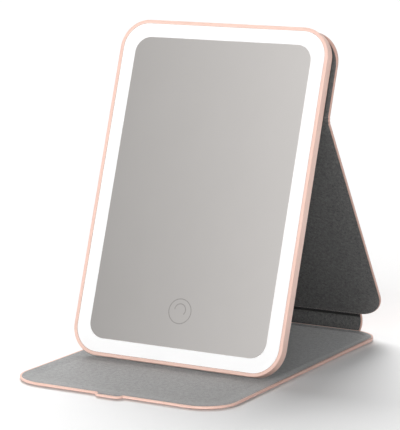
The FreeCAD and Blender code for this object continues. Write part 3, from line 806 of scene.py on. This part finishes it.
def markPiece(name, radius, lift, start, sweep):
    closed = sweep >= 360
    count = int(touchMark["steps"] * sweep / 360)
    half, proud, endWidth = touchMark["line"] / 2, touchMark["proud"], touchMark["endWidth"]
    section = [(-half, -proud), (half, -proud)]
    for step in range(touchMark["dishSteps"] + 1):
        share = 1 - 2 * step / touchMark["dishSteps"]
        section.append((share * half, proud + touchMark["dish"] * share ** 2))
    centre = Vector((touchCentre.x, touchCentre.y + lift, glassFront))
    bm = bmesh.new()
    loops = []
    for step in range(count if closed else count + 1):
        angle = math.radians(start + sweep * step / count)
        near = 1 if closed else min(step, count - step) / touchMark["endSteps"]
        taper = math.sqrt(min(near, 1)) * (1 - endWidth) + endWidth
        across = Vector((math.cos(angle), math.sin(angle), 0))
        spots = [centre + across * (radius + out * taper) + upward * level for out, level in section]
        loops.append([bm.verts.new(mirrorPlace @ spot) for spot in spots])
    for first, second in zip(loops, loops[1:]):
        facesBetween(bm, first, second)
    if closed:
        facesBetween(bm, loops[-1], loops[0])
    else:
        bm.faces.new(loops[0])
        bm.faces.new(loops[-1])
    mark = finishMesh(name, bm, [etched])
    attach(mark, "mirror")


markPiece("touchRing", touchMark["ringRadius"], 0, 0, 360)
arcTurn = touchMark["arcFrom"], touchMark["arcSweep"]
markPiece("touchArc", touchMark["arcRadius"], touchMark["arcLift"], *arcTurn)
print("touch mark made")

# Camera at the photograph's angle, for a frame of 400 by 430
view = {
    "focal": 2001,           # in pixels of the frame
    "frameHeight": 430,
    "azimuth": 28,           # degrees, from the front to the right
    "elevation": 9.08,
    "roll": 0.94,
    "distance": 1.2594,
    "target": (0.0019, -0.0117, 0.09537),
    "clipEnd": 100,
}


def aimCamera():
    turn, rise, roll = (math.radians(view[key]) for key in ("azimuth", "elevation", "roll"))
    back = Vector((math.sin(turn) * math.cos(rise), -math.cos(turn) * math.cos(rise), math.sin(rise)))
    right = Vector((math.cos(turn), math.sin(turn), 0))
    up = back.cross(right)
    rolledRight = right * math.cos(roll) + up * math.sin(roll)
    rolledUp = up * math.cos(roll) - right * math.sin(roll)
    data = bpy.data.cameras.new("photoCamera")
    data.lens = data.sensor_width * view["focal"] / view["frameHeight"]
    data.clip_end = view["clipEnd"]
    camera = bpy.data.objects.new("photoCamera", data)
    scene.collection.objects.link(camera)
    camera.matrix_world = Matrix((rolledRight, rolledUp, back)).transposed().to_4x4()
    camera.location = Vector(view["target"]) + back * view["distance"]
    scene.camera = camera


aimCamera()
print("camera set")

# Studio: three soft lamps, a white floor and white surroundings, with a grey room in front for the mirror
lamps = {
    "keyLight": {"power": 3.65, "spread": 44, "from": (-0.45, 0.576, 0.682)},  # behind on the left
    "fillLight": {"power": 2.05, "spread": 32, "from": (0.543, -0.837, 0.07)},  # low, on the right in front
    "frontLight": {"power": 1.35, "spread": 40, "from": (0, -0.906, 0.423)},
}
room = {
    "ambient": 0.02,
    "tilt": (2.016, -0.791, 0.799),  # how the grey that the mirror faces grows with direction
    "level": 0.578,
    "low": 0.4,
    "from": 0.2,             # share of a direction to the front where the grey begins
    "to": 0.5,
}
floorLook = {
    "half": 20,
    "tone": (244, 244, 244),
    "lift": 0.08,            # light that only the camera and mirrors see on the floor
    "drop": 0.00005,
    "shader": {"Roughness": 1, "Specular IOR Level": 0, "Emission Color": white},
}


def makeWorld():
    world = bpy.data.worlds.new("studioRoom")
    scene.world = world
    world.use_nodes = True
    tree = world.node_tree
    shader = tree.nodes["Background"]
    shader.inputs["Color"].default_value = white
    where = addNode(tree, "ShaderNodeTexCoord").outputs["Generated"]
    tilt = addNode(tree, "ShaderNodeVectorMath", {0: where, 1: room["tilt"]}, operation="DOT_PRODUCT")
    low, level = room["low"], room["level"]
    grey = rangeNode(tree, tilt.outputs["Value"], low - level, 1 - level, low, 1)
    parts = addNode(tree, "ShaderNodeSeparateXYZ", {0: where})
    front = rangeNode(tree, parts.outputs["Y"], -room["from"], -room["to"], 0, 1)
    mirrored = mixNode(tree, "FLOAT", front, 1, grey)
    path = addNode(tree, "ShaderNodeLightPath")
    seen = mathNode(tree, "MAXIMUM", path.outputs["Is Camera Ray"], path.outputs["Is Transmission Ray"])
    light = mixNode(tree, "FLOAT", path.outputs["Is Glossy Ray"], room["ambient"], mirrored)
    tree.links.new(mathNode(tree, "MAXIMUM", seen, light), shader.inputs["Strength"])


def makeLamp(name, lamp):
    data = bpy.data.lights.new(name, "SUN")
    data.energy = lamp["power"]
    data.angle = math.radians(lamp["spread"])
    light = bpy.data.objects.new(name, data)
    scene.collection.objects.link(light)
    light.rotation_mode = "QUATERNION"
    light.rotation_quaternion = Vector(lamp["from"]).to_track_quat("Z", "Y")
    light.visible_glossy = False


def makeFloor():
    half = floorLook["half"]
    mesh = bpy.data.meshes.new("floor")
    corners = [(-half, -half, 0), (half, -half, 0), (half, half, 0), (-half, half, 0)]
    mesh.from_pydata(corners, [], [(0, 1, 2, 3)])
    material, tree, shader = startFinish("floorPaint", floorLook["shader"])
    shader.inputs["Base Color"].default_value = colourOf(*floorLook["tone"])
    path = addNode(tree, "ShaderNodeLightPath")
    seen = mathNode(tree, "MAXIMUM", path.outputs["Is Camera Ray"], path.outputs["Is Glossy Ray"])
    seen = mathNode(tree, "MAXIMUM", seen, path.outputs["Is Transmission Ray"])
    lift = mathNode(tree, "MULTIPLY", seen, floorLook["lift"])
    tree.links.new(lift, shader.inputs["Emission Strength"])
    mesh.materials.append(material)
    floor = bpy.data.objects.new("floor", mesh)
    scene.collection.objects.link(floor)
    floor.location.z = -floorLook["drop"]


makeWorld()
for name, lamp in lamps.items():
    makeLamp(name, lamp)
makeFloor()
scene.view_settings.view_transform = "Standard"
print("studio set")
